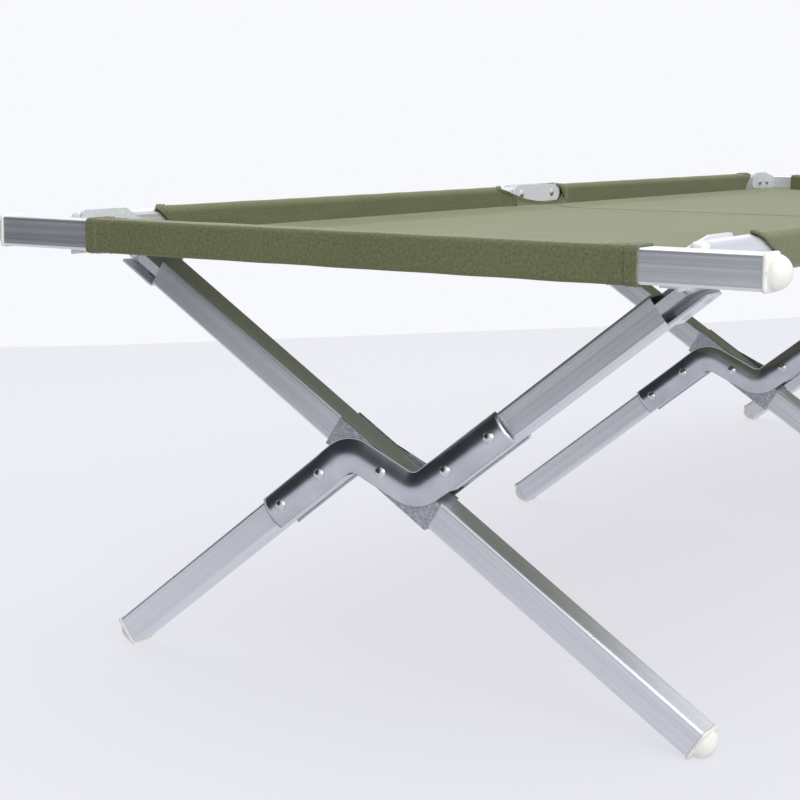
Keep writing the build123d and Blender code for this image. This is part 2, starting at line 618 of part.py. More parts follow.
def leg_nodes():
    nodes = {}
    for end, name in ((FRONT, "front"), (BACK, "back")):
        frames = hanger_places(end)
        nodes[f"straight_legs_{name}"] = [straight_leg(y) for y in frames]
        nodes[f"leg_saddles_{name}"] = [saddle(y) for y in frames]
        nodes[f"straight_leg_brackets_{name}"] = [leg_top_bracket(y, LEFT) for y in frames]
        nodes[f"straight_leg_rivets_{name}"] = [r for y in frames for r in bracket_rivets(y, LEFT)]
        nodes[f"straight_leg_feet_{name}"] = [foot_cap(a_point(y, A_FOOT), A_DOWN) for y in frames]
        nodes[f"crank_lower_tubes_{name}"] = [crank_tube(y, -1) for y in frames]
        nodes[f"crank_upper_tubes_{name}"] = [crank_tube(y, 1) for y in frames]
        nodes[f"crank_links_{name}"] = [crank_link(y, face) for y in frames for face in (FRONT, BACK)]
        nodes[f"crank_leg_brackets_{name}"] = [leg_top_bracket(y, RIGHT) for y in frames]
        link_rivets = [rivet(*ends) for y in frames for ends in link_rivet_ends(y)]
        top_rivets = [r for y in frames for r in bracket_rivets(y, RIGHT)]
        nodes[f"crank_leg_rivets_{name}"] = link_rivets + top_rivets
        nodes[f"crank_leg_feet_{name}"] = [foot_cap(b_point(y, -B_FOOT), -B_UP) for y in frames]
    return nodes


def main():
    os.makedirs("parts", exist_ok=True)
    for name, solids in {**rail_nodes(), **end_nodes(), **leg_nodes()}.items():
        node = Compound(children=[solid for group in solids for solid in group.solids()])
        export_step(node, f"parts/{name}.step")
    print(f"scissor: straight leg {A_ANGLE:.2f} deg, cranked leg {B_ANGLE:.2f} deg, leg reach {LEG_REACH:.2f} mm")


main()
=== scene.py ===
"""Folding cot: sewn olive cover on a square-tube frame with three X legs, seen at the photo's angle."""

import json
from math import asin, atan2, hypot, pi, radians

import bpy
import numpy as np
from mathutils import Matrix, Vector


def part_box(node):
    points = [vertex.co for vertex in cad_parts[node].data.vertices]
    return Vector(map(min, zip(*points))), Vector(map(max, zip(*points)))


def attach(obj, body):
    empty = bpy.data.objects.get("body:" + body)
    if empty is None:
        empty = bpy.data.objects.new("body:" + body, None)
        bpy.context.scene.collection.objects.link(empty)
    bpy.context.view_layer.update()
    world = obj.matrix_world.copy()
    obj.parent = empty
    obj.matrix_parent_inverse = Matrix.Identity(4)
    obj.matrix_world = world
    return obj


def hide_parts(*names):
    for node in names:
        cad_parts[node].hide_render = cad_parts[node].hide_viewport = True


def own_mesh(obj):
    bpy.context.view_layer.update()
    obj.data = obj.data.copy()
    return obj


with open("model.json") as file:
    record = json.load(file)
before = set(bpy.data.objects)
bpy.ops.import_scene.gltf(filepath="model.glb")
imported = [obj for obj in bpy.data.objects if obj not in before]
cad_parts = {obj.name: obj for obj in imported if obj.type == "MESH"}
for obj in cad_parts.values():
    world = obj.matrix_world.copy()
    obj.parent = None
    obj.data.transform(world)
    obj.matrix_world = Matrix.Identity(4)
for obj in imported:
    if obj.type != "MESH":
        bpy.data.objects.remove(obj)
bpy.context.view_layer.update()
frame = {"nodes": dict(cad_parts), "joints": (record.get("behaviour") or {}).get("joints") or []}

MM = 0.001

# cover
CLOTH = 1.2 * MM
CLOTH_ROOM = 0.3 * MM
LEFT_SHORT = 6 * MM
TUBE_CORNER = 3 * MM
RAIL_CORNER = 6 * MM
SLEEVE_HANG = 3.6 * MM
SLEEVE_HANG_END = 760 * MM
SHEET_SAG = 0.8 * MM
SHEET_TURN_UP = 46 * MM
HINGE_TAPER = 7 * MM
HINGE_TAPER_END = 84 * MM
SHEET_RISE = {"front": 4.3 * MM, "back": 3.0 * MM}
SEAM_RISE = 3.4 * MM
PLATE_COVER = 2.7 * MM
PLATE_COVER_END = 88 * MM
HEM_WIDTH = 11 * MM
HEM_RISE = 0.7 * MM
SIDE_HEM_STITCHES = (0.45 * HEM_WIDTH, 0.95 * HEM_WIDTH)
END_HEM_STITCHES = (0.3 * HEM_WIDTH, 0.9 * HEM_WIDTH, 1.7 * HEM_WIDTH, 2.4 * HEM_WIDTH)
MOUTH_FLARE = 0.9 * MM
LIP_ROOM, LIP_FOOT, LIP_CURL = 0.4 * MM, 8 * MM, 0.5 * MM
LIP_STITCHES = (2.5 * MM, 6 * MM)
STITCH_PITCH = 4.2 * MM
STITCH_LENGTH = 3.2 * MM
STITCH_RADIUS = 0.5 * MM

# pressed links of the cranked legs
CRANK_OFFSET = 35 * MM
LINK_WIDTH = 32.5 * MM
LINK_SHEET = 2 * MM
LINK_CROWN = 6.2 * MM
LINK_RISE = 2.6 * MM
LINK_REACH = 132 * MM
LINK_STEP = 18 * MM
LINK_BEND = 26 * MM

# white caps
CAP_LIP = 1.2 * MM
CAP_FLANGE = 3.4 * MM
CAP_DOME = 11.5 * MM
CAP_DOME_RADIUS = 14.4 * MM
BAR_CAP_DOME = 14.5 * MM
PLUG_NOSE = 11.6 * MM
PLUG_ROUND = 6.5 * MM

# camera found from the photo: the frame's corners, feet and rail ends line up in it
CAMERA_PLACE = (0.8738, -2.2228, 0.5302)
CAMERA_YAW, CAMERA_PITCH, CAMERA_ROLL = 32.184, -8.851, 0.553
CAMERA_LENS = 81.58

# studio: back and front edges of the floor, and the side that the frame's dark faces mirror
FLOOR_END = [(-2.111, 0.790), (-1.934, 0.968), (-0.972, 2.298), (-0.838, 2.554)]
FLOOR_FRONT = [(-1.9, -1.5), (3.5, -1.5)]
FLOOR_DEPTH = 0.4 * MM
DARK_SIDE = (-0.80, -0.60, 0.24)
DARK_HALF, PALE_HALF = 22, 64


def srgb(hex_colour):
    """Linear RGBA of an sRGB hex colour."""
    c = np.array([int(hex_colour[i : i + 2], 16) for i in (1, 3, 5)]) / 255
    linear = np.where(c <= 0.04045, c / 12.92, ((c + 0.055) / 1.055) ** 2.4)
    return (*linear.tolist(), 1.0)


def node(tree, kind, values=None, links=None, **settings):
    """Adds a shader node: settings are its properties, values its sockets' constants, links the sockets
    they come from."""
    made = tree.nodes.new(kind)
    for key, value in settings.items():
        setattr(made, key, value)
    for key, value in (values or {}).items():
        made.inputs[key].default_value = value
    for key, source in (links or {}).items():
        tree.links.new(source, made.inputs[key])
    return made


def blank_material(name):
    material = bpy.data.materials.new(name)
    material.use_nodes = True
    tree = material.node_tree
    tree.nodes.clear()
    return material, tree


def surface(tree, colour, roughness, normal=None, **values):
    """Principled surface with linked colour, roughness and normal; the other sockets are constants."""
    links = {"Base Color": colour, "Roughness": roughness}
    if normal is not None:
        links["Normal"] = normal
    sockets = {key.replace("_", " "): value for key, value in values.items()}
    shader = node(tree, "ShaderNodeBsdfPrincipled", sockets, links)
    node(tree, "ShaderNodeOutputMaterial", links={"Surface": shader.outputs[0]})
    return shader


def ramp(tree, factor, stops):
    """Colour ramp over factor through (position, hex) stops."""
    made = node(tree, "ShaderNodeValToRGB", links={"Fac": factor})
    elements = made.color_ramp.elements
    while len(elements) < len(stops):
        elements.new(0.5)
    for element, (position, colour) in zip(elements, stops):
        element.position = position
        element.color = srgb(colour)
    return made.outputs["Color"]


def span(tree, factor, low, high):
    """Maps factor 0 to 1 onto low to high."""
    values = {"To Min": low, "To Max": high}
    return node(tree, "ShaderNodeMapRange", values, {"Value": factor}).outputs[0]


def noise(tree, place, size, detail=2.0, output="Fac"):
    """Noise over place whose patches are about size wide."""
    values = {"Scale": 1 / size, "Detail": detail}
    return node(tree, "ShaderNodeTexNoise", values, {"Vector": place}).outputs[output]


def relief(tree, height, strength, depth):
    """Normal of a surface raised by height times depth in metres."""
    values = {"Strength": strength, "Distance": depth}
    return node(tree, "ShaderNodeBump", values, {"Height": height}).outputs[0]


def drawn_aluminium(name, turn):
    """Satin extruded tube: fine die lines that run along the tube, which lies along X after the turn,
    broad ones 2.6 mm apart in the tone and narrow ones 0.7 mm apart in the relief."""
    material, tree = blank_material(name)
    place = node(tree, "ShaderNodeTexCoord").outputs["Object"]
    along = node(
        tree, "ShaderNodeMapping", {"Rotation": turn}, {"Vector": place}
    ).outputs[0]
    streaked = node(
        tree, "ShaderNodeMapping", {"Scale": (1 / 0.9, 1 / 0.0026, 1 / 0.0026)}, {"Vector": along}
    ).outputs[0]
    lines = noise(tree, streaked, 1.0, 3.0)
    cloudy = noise(tree, place, 0.05, 3.0)
    colour = ramp(tree, lines, [(0.25, "#cdd1d7"), (0.75, "#e6e8ec")])
    mixed = node(
        tree, "ShaderNodeMath", {1: 0.35}, {0: cloudy, 2: lines}, operation="MULTIPLY_ADD"
    ).outputs[0]
    rough = span(tree, mixed, 0.26, 0.46)
    fine = node(
        tree, "ShaderNodeMapping", {"Scale": (1 / 0.9, 1 / 0.0007, 1 / 0.0007)}, {"Vector": along}
    ).outputs[0]
    scratches = noise(tree, fine, 1.0, 1.0)
    surface(tree, colour, rough, relief(tree, scratches, 0.5, 0.00025), Metallic=0.92)
    return material


def plain_metal(name, dark, light, grain, low, high, bump_depth, metallic=1.0):
    """Steel with a fine grain of the given size in metres between two greys."""
    material, tree = blank_material(name)
    place = node(tree, "ShaderNodeTexCoord").outputs["Object"]
    grains = noise(tree, place, grain, 4.0)
    colour = ramp(tree, grains, [(0.3, dark), (0.7, light)])
    rough = span(tree, grains, low, high)
    surface(tree, colour, rough, relief(tree, grains, 0.3, bump_depth), Metallic=metallic)
    return material


def spangled_zinc(name):
    """Hot-dip zinc: crystal flakes about 1.6 mm wide, each with its own grey and gloss."""
    material, tree = blank_material(name)
    place = node(tree, "ShaderNodeTexCoord").outputs["Object"]
    wander = noise(tree, place, 0.004, output="Color")
    bent = node(tree, "ShaderNodeMix", {"Factor": 0.002}, {6: place, 7: wander}, data_type="RGBA").outputs[2]
    flakes = node(tree, "ShaderNodeTexVoronoi", {"Scale": 1 / 0.0016}, {"Vector": bent}).outputs["Color"]
    grey = node(tree, "ShaderNodeSeparateColor", links={"Color": flakes}).outputs["Red"]
    colour = ramp(tree, grey, [(0.0, "#94989f"), (0.5, "#acafb6"), (1.0, "#c8cbd0")])
    rough = span(tree, grey, 0.3, 0.48)
    surface(tree, colour, rough, None, Metallic=0.9)
    return material


def moulded_plastic(name):
    """Ivory-white moulded plastic with a faint unevenness about 12 mm wide."""
    material, tree = blank_material(name)
    place = node(tree, "ShaderNodeTexCoord").outputs["Object"]
    patches = noise(tree, place, 0.012)
    colour = ramp(tree, patches, [(0.3, "#d5d4cc"), (0.7, "#dfded6")])
    rough = span(tree, patches, 0.22, 0.34)
    surface(tree, colour, rough, None, Subsurface_Weight=0.08, Subsurface_Scale=0.002)
    return material


def woven_cloth(name, dark, light, thread=1.5 * MM):
    """Coated olive canvas in plain weave: warp and weft ridges as the product of two sines of the cloth's
    own length and width. The real threads are about 0.6 mm apart, and here 1.5 mm so that they show."""
    material, tree = blank_material(name)
    cut = node(tree, "ShaderNodeUVMap", uv_map="cut").outputs[0]
    parts = node(tree, "ShaderNodeSeparateXYZ", links={"Vector": cut})
    waves = []
    for axis in ("X", "Y"):
        phase = node(
            tree, "ShaderNodeMath", {1: pi / thread}, {0: parts.outputs[axis]}, operation="MULTIPLY"
        ).outputs[0]
        waves.append(node(tree, "ShaderNodeMath", links={0: phase}, operation="SINE").outputs[0])
    weave = node(tree, "ShaderNodeMath", links={0: waves[0], 1: waves[1]}, operation="MULTIPLY").outputs[0]
    slubs = noise(tree, cut, 1.7 * thread, 3.0)
    fade = noise(tree, cut, 0.14)
    mixed = node(
        tree, "ShaderNodeMath", {1: 0.10}, {0: weave, 2: slubs}, operation="MULTIPLY_ADD"
    ).outputs[0]
    tone = node(tree, "ShaderNodeMath", {1: 0.3}, {0: fade, 2: mixed}, operation="MULTIPLY_ADD").outputs[0]
    colour = ramp(tree, tone, [(0.35, dark), (0.95, light)])
    rough = span(tree, slubs, 0.72, 0.92)
    surface(
        tree, colour, rough, relief(tree, mixed, 0.35, 0.0003),
        Sheen_Weight=0.45, Sheen_Roughness=0.35, Sheen_Tint=srgb("#d9dcc8"), Specular_IOR_Level=0.25,
    )
    return material


def sewing_thread(name):
    """Olive polyester thread of the cloth's own colour, with a twist 1.2 mm long."""
    material, tree = blank_material(name)
    place = node(tree, "ShaderNodeTexCoord").outputs["Object"]
    twist = noise(tree, place, 0.0012)
    colour = ramp(tree, twist, [(0.3, "#4c4f3b"), (0.7, "#6a6d55")])
    surface(tree, colour, span(tree, twist, 0.5, 0.7), None, Sheen_Weight=0.3)
    return material


def studio_paper(name, hex_colour, share, glow):
    """Matt paper, lit from behind by the glow and sending back a share of its colour, with a tone that
    wanders by two parts in a hundred over half a metre."""
    material, tree = blank_material(name)
    place = node(tree, "ShaderNodeTexCoord").outputs["Object"]
    tone = noise(tree, place, 0.5)
    lit = srgb(hex_colour)
    pale = (*(share * channel for channel in lit[:3]), 1.0)
    dull = (*(0.98 * channel for channel in pale[:3]), 1.0)
    mixed = node(tree, "ShaderNodeMix", {6: pale, 7: dull}, {"Factor": tone}, data_type="RGBA").outputs[2]
    surface(
        tree, mixed, span(tree, tone, 0.85, 0.95), None,
        Specular_IOR_Level=0.2, Emission_Color=lit, Emission_Strength=glow,
    )
    return material


def mesh_piece(name, points, faces, uv=None, smooth=True):
    """Object from vertices (n, 3), quads or triangles (lists of index arrays) and a UV per vertex in
    metres."""
    mesh = bpy.data.meshes.new(name)
    mesh.from_pydata(points.tolist(), [], [f.tolist() for block in faces for f in block])
    if uv is not None:
        loops = np.empty(len(mesh.loops), int)
        mesh.loops.foreach_get("vertex_index", loops)
        mesh.uv_layers.new(name="cut").data.foreach_set("uv", uv[loops].ravel())
    mesh.polygons.foreach_set("use_smooth", np.full(len(mesh.polygons), smooth))
    mesh.update()
    made = bpy.data.objects.new(name, mesh)
    bpy.context.scene.collection.objects.link(made)
    return made


def grid_faces(rows, columns, closed):
    """Quads of a rows x columns grid of vertices, with the columns closed to a ring if asked."""
    index = np.arange(rows * columns).reshape(rows, columns)
    right = np.roll(index, -1, axis=1)
    quads = np.stack([index[:-1], right[:-1], right[1:], index[1:]], axis=-1)
    return (quads if closed else quads[:, :-1]).reshape(-1, 4)


def shell_faces(rows, columns):
    """Faces of two rows x columns grids of vertices, one skin after the other, closed round their edge."""
    quads = grid_faces(rows, columns, False)
    edge = np.concatenate(
        [
            np.arange(columns),
            np.arange(2, rows) * columns - 1,
            np.arange(rows * columns - 1, (rows - 1) * columns - 1, -1),
            np.arange((rows - 2) * columns, 0, -columns),
        ]
    )
    under = edge + rows * columns
    rim = np.stack([edge, under, np.roll(under, -1), np.roll(edge, -1)], axis=-1)
    return [quads, quads[:, ::-1] + rows * columns, rim]


def joined(blocks):
    """One (points, faces, uv) from several, with the indices moved on."""
    points, faces, uvs, start = [], [], [], 0
    for block_points, block_faces, block_uv in blocks:
        points.append(block_points)
        faces.extend(f + start for f in block_faces)
        uvs.append(block_uv)
        start += len(block_points)
    return np.concatenate(points), faces, np.concatenate(uvs)


def rounded_loop(half_across, half_up, corner, count):
    """Ring of count points on a rectangle with rounded corners, evenly spaced along its length from the
    middle of its +across side over +up, and their outward normals: straight runs joined by quarter
    circles."""
    corners = np.array([[1, 1], [-1, 1], [-1, -1], [1, -1]]) * [half_across - corner, half_up - corner]
    sweep = np.linspace(0, pi / 2, 16)
    points, normals = [], []
    for number, centre in enumerate(corners):
        turn = sweep + number * pi / 2
        normal = np.stack([np.cos(turn), np.sin(turn)], axis=-1)
        points.append(centre + corner * normal)
        normals.append(normal)
    points, normals = np.concatenate(points), np.concatenate(normals)
    start = np.array([[half_across, 0.0]])
    points = np.concatenate([start, points, start])
    normals = np.concatenate([[[1.0, 0.0]], normals, [[1.0, 0.0]]])
    length = np.concatenate([[0], np.cumsum(np.linalg.norm(np.diff(points, axis=0), axis=1))])
    s = np.arange(count) / count * length[-1]
    ring = np.stack([np.interp(s, length, points[:, k]) for k in range(2)], axis=-1)
    normal = np.stack([np.interp(s, length, normals[:, k]) for k in range(2)], axis=-1)
    return ring, normal / np.linalg.norm(normal, axis=1)[:, None], s


def stitch_block(path, normals, pitch=STITCH_PITCH):
    """Raised stitches along a path (n, 3): spheres stretched along the path to the stitch's length and
    half sunk in the cloth, one every pitch."""
    step = np.linalg.norm(np.diff(path, axis=0), axis=1)
    s = np.concatenate([[0], np.cumsum(step)])
    at = np.arange(pitch / 2, s[-1], pitch)
    centre = np.stack([np.interp(at, s, path[:, k]) for k in range(3)], axis=-1)
    ahead = np.stack([np.interp(at + STITCH_LENGTH / 2, s, path[:, k]) for k in range(3)], axis=-1)
    behind = np.stack([np.interp(at - STITCH_LENGTH / 2, s, path[:, k]) for k in range(3)], axis=-1)
    up = np.stack([np.interp(at, s, normals[:, k]) for k in range(3)], axis=-1)
    along = ahead - behind
    along /= np.linalg.norm(along, axis=1)[:, None]
    side = np.cross(up, along)
    polar = np.linspace(0, pi, 5)[:, None]
    round_it = (np.arange(6) / 6 * 2 * pi)[None, :]
    ball = np.stack(
        [
            -np.cos(polar) * STITCH_LENGTH / 2 + 0 * round_it,
            np.sin(polar) * np.cos(round_it) * STITCH_RADIUS,
            np.sin(polar) * np.sin(round_it) * STITCH_RADIUS,
        ],
        axis=-1,
    ).reshape(-1, 3)
    axes = np.stack([along, side, up], axis=1)
    points = centre[:, None, :] + np.einsum("pk,nkc->npc", ball, axes)
    quads = grid_faces(5, 6, True)
    faces = (quads[None] + (np.arange(len(at)) * len(ball))[:, None, None]).reshape(-1, 4)
    return points.reshape(-1, 3), [faces], np.zeros((points.size // 3, 2))


def ripple(u, v, wave_u, wave_v, seed, terms=5):
    """Sum of a few sines of u and v with seeded directions and phases, about -1 to 1, for cloth that isn't
    quite even."""
    local = np.random.default_rng(seed)
    total = 0 * u
    for _ in range(terms):
        a, b = local.uniform(0.5, 1.6, 2) * local.choice([-1, 1], 2)
        total = total + np.sin(2 * pi * (a * u / wave_u + b * v / wave_v) + local.uniform(0, 2 * pi))
    return total / terms ** 0.5 / 1.4


def cut_line(ring, places):
    """Place of a sleeve's cut end round its loop: places gives it in millimetres at angles in degrees from
    the inner side over the top, and between them it runs straight and is then smoothed round the loop."""
    angle = np.degrees(np.arctan2(ring[:, 1], ring[:, 0]))
    line = np.interp(angle, list(places), list(places.values()), period=360) * MM
    for _ in range(2):
        line = (np.roll(line, 1) + 2 * line + np.roll(line, -1)) / 4
    return line


def sleeve_block(
    half, corner, cuts, place, mirrored, seed, flare, stitch_insets, cover=None, rows=150, columns=120
):
    """Cloth loop round a tube of the given half width and corner: the outer skin is a rounded rectangle a
    room and a cloth thickness outside the tube, swept from one cut end to the other; it stands out by
    the hem's rise along each end, flares a little at the mouth and is lifted by cover(normal, along).
    The inner skin lies one thickness inside. place turns (across, up, along) into the frame, and
    mirrored says that it swaps left and right."""
    around = CLOTH_ROOM + CLOTH
    ring, normal, s = rounded_loop(half + around, half_tube + around, corner + around, columns)
    ease = np.linspace(0, 1, rows)
    ease = ease - 0.13 * np.sin(2 * pi * ease)
    first, last = (cut_line(ring, cut) for cut in cuts)
    along = first + (last - first) * ease[:, None]
    from_end = np.minimum(np.abs(along - first), np.abs(along - last))
    hem = HEM_RISE / (1 + np.exp((from_end - HEM_WIDTH) / (0.5 * MM)))
    mouth = flare * np.exp(-from_end / (9 * MM))
    if cover is not None:
        mouth = mouth + cover(normal[None], along)
    soft = 0.2 * MM * ripple(s[None] + 0 * along, along, 0.06, 0.11, seed)
    lift = hem + mouth + np.maximum(soft, -CLOTH_ROOM / 2)

    def skin(extra, line):
        spot = ring + normal * extra[..., None]
        return place(spot[..., 0], spot[..., 1], line)

    points = np.concatenate([skin(lift, along).reshape(-1, 3), skin(mouth - CLOTH, along).reshape(-1, 3)])
    quads = grid_faces(rows, columns, True)
    index = np.arange(2 * rows * columns).reshape(2, rows, columns)
    rims = []
    for end, flip in ((0, False), (-1, True)):
        a, b = index[0, end], index[1, end]
        rim = np.stack([a, b, np.roll(b, -1), np.roll(a, -1)], axis=-1)
        rims.append(rim[:, ::-1] if flip else rim)
    faces = [quads, quads[:, ::-1] + rows * columns, *rims]
    if mirrored:
        faces = [f[:, ::-1] for f in faces]
    uv = np.stack([np.broadcast_to(s, along.shape), along], axis=-1).reshape(-1, 2)

    stitches = []
    lean = skin(np.zeros(columns), 0 * first) - skin(np.full(columns, -1.0), 0 * first)
    for cut, sign in ((first, 1), (last, -1)):
        for inset in stitch_insets:
            line = cut + sign * inset
            row = np.argmin(np.abs(along - line), axis=0)
            path = skin(lift[row, np.arange(columns)] + 0.2 * STITCH_RADIUS, line)
            closed = [np.concatenate([loop, loop[:1]]) for loop in (path, lean)]
            stitches.append(stitch_block(*closed))
    return (points, faces, np.concatenate([uv, uv])), stitches


def cloth_object(name, cloth_blocks, stitch_blocks, body, cad_node):
    """Cloth piece with its stitches as one mesh: the cloth in the first material, the thread in the
    second."""
    points, faces, uv = joined([*cloth_blocks, *stitch_blocks])
    made = mesh_piece(name, points, faces, uv)
    made.data.materials.append(canvas)
    made.data.materials.append(thread)
    cloth_faces = sum(len(f) for block in cloth_blocks for f in block[1])
    slots = np.zeros(len(made.data.polygons), int)
    slots[cloth_faces:] = 1
    made.data.polygons.foreach_set("material_index", slots)
    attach(made, body)
    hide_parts(cad_node)
    return made


def flat_block(xs, ys, top):
    """Sheet over a grid of xs by ys whose top is top(x, y) and whose underside lies a cloth's thickness
    lower, closed round its edge."""
    x, y = np.meshgrid(xs, ys)
    upper = np.stack([x, y, top(x, y)], axis=-1)
    lower = upper - np.array([0, 0, CLOTH])
    points = np.concatenate([upper.reshape(-1, 3), lower.reshape(-1, 3)])
    uv = np.stack([x, y], axis=-1).reshape(-1, 2)
    return points, shell_faces(*x.shape), np.concatenate([uv, uv])


# the frame's own measures
rail_lo, rail_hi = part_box("rail_left_front")
rail_x = (rail_lo[0] + rail_hi[0]) / 2
rail_z = (rail_lo[2] + rail_hi[2]) / 2
rail_half = (rail_hi[0] - rail_lo[0]) / 2
half_tube = (rail_hi[2] - rail_lo[2]) / 2
bar_lo, bar_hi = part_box("end_bar_front")
bar_y = (bar_lo[1] + bar_hi[1]) / 2
bar_z = (bar_lo[2] + bar_hi[2]) / 2
sheet_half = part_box("bed_sheet_front")[1][0]
band_lo, band_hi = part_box("seam_band")
hinge_y = (band_lo[1] + band_hi[1]) / 2
joints = {joint["name"]: joint for joint in frame["joints"]}
crossings = {
    "front": np.array(joints["scissor"]["pos_m"]),
    "back": np.array(joints["scissor_back"]["pos_m"]),
}
middle_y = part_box("straight_legs_front")[1][1] - half_tube
leg_top = np.array(joints["straight_leg_hinge_front"]["pos_m"]) - crossings["front"]
reach = hypot(leg_top[0], leg_top[2])
straight_lean = atan2(leg_top[2], -leg_top[0])
crank_lean = straight_lean + asin(CRANK_OFFSET / reach)
straight_down = np.array([np.cos(straight_lean), 0, -np.sin(straight_lean)])
crank_up = np.array([np.cos(crank_lean), 0, np.sin(crank_lean)])
crank_side = np.array([-np.sin(crank_lean), 0, np.cos(crank_lean)])

canvas = woven_cloth("olive_canvas", "#52553a", "#737656")
thread = sewing_thread("olive_thread")
plastic = moulded_plastic("white_moulding")
link_steel = plain_metal("pressed_steel", "#b9bcc3", "#c9ccd2", 0.03, 0.18, 0.27, 0.00002)
plate_steel = plain_metal("zinc_plated_steel", "#d2d5da", "#e2e4e8", 0.0035, 0.36, 0.52, 0.00006, 0.25)
rivet_steel = plain_metal("rivet_steel", "#c2c5ca", "#d5d7da", 0.004, 0.14, 0.24, 0.00002)
saddle_zinc = spangled_zinc("spangled_zinc")
tube_finishes = {
    "rail": drawn_aluminium("aluminium_rails", (0, 0, radians(90))),
    "end_bar": drawn_aluminium("aluminium_bars", (0, 0, 0)),
    "straight_legs": drawn_aluminium("aluminium_straight_legs", (0, -straight_lean, 0)),
    "crank": drawn_aluminium("aluminium_cranked_legs", (0, crank_lean, 0)),
}


def side_sleeves():
    """Four loops round the rail halves. The mouth at the bar is cut back in a curve, and at the hinge the
    two loops are scooped out round the plate: the front one falls away from its top, the back one curls
    round the plate's end. Angles run from the rail's inner side over its top, lengths in millimetres
    along the bed, from the hinge at the scoop."""
    bar_cuts = {
        "left": {0: 784, 40: 794, 58: 803, 75: 800, 90: 792, 117: 781, 180: 785, 270: 790, 310: 778},
        "right": {
            0: 784, 50: 776, 66: 782, 90: 806, 110: 806, 122: 800,
            145: 788, 180: 771, 240: 766, 270: 776, 310: 784,
        },
    }
    scoops = {
        "front": {
            0: -63, 20: -64, 28: -68, 42: -82, 58: -100, 75: -94,
            90: -86, 121: -70, 180: -66, 270: -64, 325: -60,
        },
        "back": {
            0: 76, 25: 72, 50: 66, 64: 52, 90: 46, 125: 60, 180: 70, 270: 70, 300: 66, 325: 72, 345: 76,
        },
    }
    hinge_mm = hinge_y / MM
    for side, inward in (("left", 1), ("right", -1)):
        x = inward * rail_x
        for number, (end, sign) in enumerate((("front", -1), ("back", 1))):
            bar_cut = {angle: sign * y for angle, y in bar_cuts[side].items()}
            hinge_cut = {angle: hinge_mm + y for angle, y in scoops[end].items()}

            def place(across, up, along):
                return np.stack([x + inward * across, along, rail_z + up], axis=-1)

            def loose(normal, along):
                near = 1 / (1 + np.exp((np.abs(along - hinge_y) - PLATE_COVER_END) / (4 * MM)))
                over_plate = PLATE_COVER * near * np.clip(1.6 * normal[..., 0], 0, 1)
                clear = 1 / (1 + np.exp((np.abs(along) - SLEEVE_HANG_END) / (8 * MM)))
                return over_plate + SLEEVE_HANG * clear * (1 - near) * np.clip(-normal[..., 1], 0, 1) ** 2

            block, stitches = sleeve_block(
                rail_half,
                RAIL_CORNER,
                (bar_cut, hinge_cut) if sign < 0 else (hinge_cut, bar_cut),
                place,
                inward > 0,
                11 + 2 * inward + number,
                MOUTH_FLARE,
                SIDE_HEM_STITCHES,
                loose,
            )
            cloth_object(
                f"rail_cover_{side}_{end}",
                [block],
                stitches,
                f"{side}_{end}",
                f"side_sleeve_{side}_{end}",
            )


def end_sleeves():
    """Loop round each end bar with hemmed ends, cut a little short on the left, and its tongue under the
    bed sheet."""
    for end, sign in (("front", 1), ("back", -1)):
        lo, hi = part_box(f"end_sleeve_{end}")
        y = sign * bar_y

        def place(across, up, along):
            return np.stack([along, y + across, bar_z + up], axis=-1)

        block, stitches = sleeve_block(
            half_tube,
            TUBE_CORNER,
            ({0: (lo[0] + LEFT_SHORT) / MM}, {0: hi[0] / MM}),
            place,
            False,
            31 + sign,
            0.0,
            END_HEM_STITCHES,
            rows=190,
        )
        inner = y + sign * (half_tube + CLOTH_ROOM + CLOTH / 2)
        far = hi[1] if sign > 0 else lo[1]
        tongue = flat_block(
            np.linspace(lo[0], hi[0], 60),
            np.linspace(min(inner, far), max(inner, far), 12),
            lambda x, y: lo[2] + CLOTH + 0 * x,
        )
        made = cloth_object(
            f"bar_cover_{end}",
            [block, tongue],
            stitches,
            f"{end}_bar",
            f"end_sleeve_{end}",
        )
        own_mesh(made)


def turned_up(x, rise):
    """Rise of the cloth's edge towards the seam with a side sleeve: a smooth step over the last stretch
    before the rail."""
    t = np.clip((np.abs(x) - (sheet_half - SHEET_TURN_UP)) / SHEET_TURN_UP, 0, 1)
    return rise * t ** 2 * (3 - 2 * t)


def bed_sheets():
    """Two halves of the bed: taut, a little lower between rails, bars and hinge, turned up along the
    rails, narrower beside the hinge plates, and with faint pulls across."""
    for end, edge_rise in SHEET_RISE.items():
        lo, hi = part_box(f"bed_sheet_{end}")

        def top(x, y):
            across = 1 - (x / sheet_half) ** 2
            along = np.sin(pi * np.clip((y - lo[1]) / (hi[1] - lo[1]), 0, 1)) ** 0.5
            pulls = 0.35 * MM * ripple(x, y, 0.22, 0.5, 41) * across
            return hi[2] - SHEET_SAG * across * along + pulls * along + turned_up(x, edge_rise)

        xs = sheet_half * np.sin(np.linspace(-pi / 2, pi / 2, 111))
        block = flat_block(xs, np.linspace(lo[1], hi[1], 121), top)
        from_hinge = np.abs(block[0][:, 1] - hinge_y)
        beside_plate = 1 / (1 + np.exp((from_hinge - HINGE_TAPER_END) / (5 * MM)))
        block[0][:, 0] *= 1 - HINGE_TAPER / sheet_half * beside_plate
        stitches = []
        if end == "back":
            seam_y = lo[1] + 4 * MM + 0 * xs
            path = np.stack([xs, seam_y, top(xs, seam_y) + 0.2 * STITCH_RADIUS], axis=-1)
            stitches.append(stitch_block(path, np.tile([0.0, 0.0, 1.0], (len(xs), 1))))
        made = cloth_object(
            f"bed_cloth_{end}",
            [block],
            stitches,
            f"left_{end}",
            f"bed_sheet_{end}",
        )
        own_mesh(made)


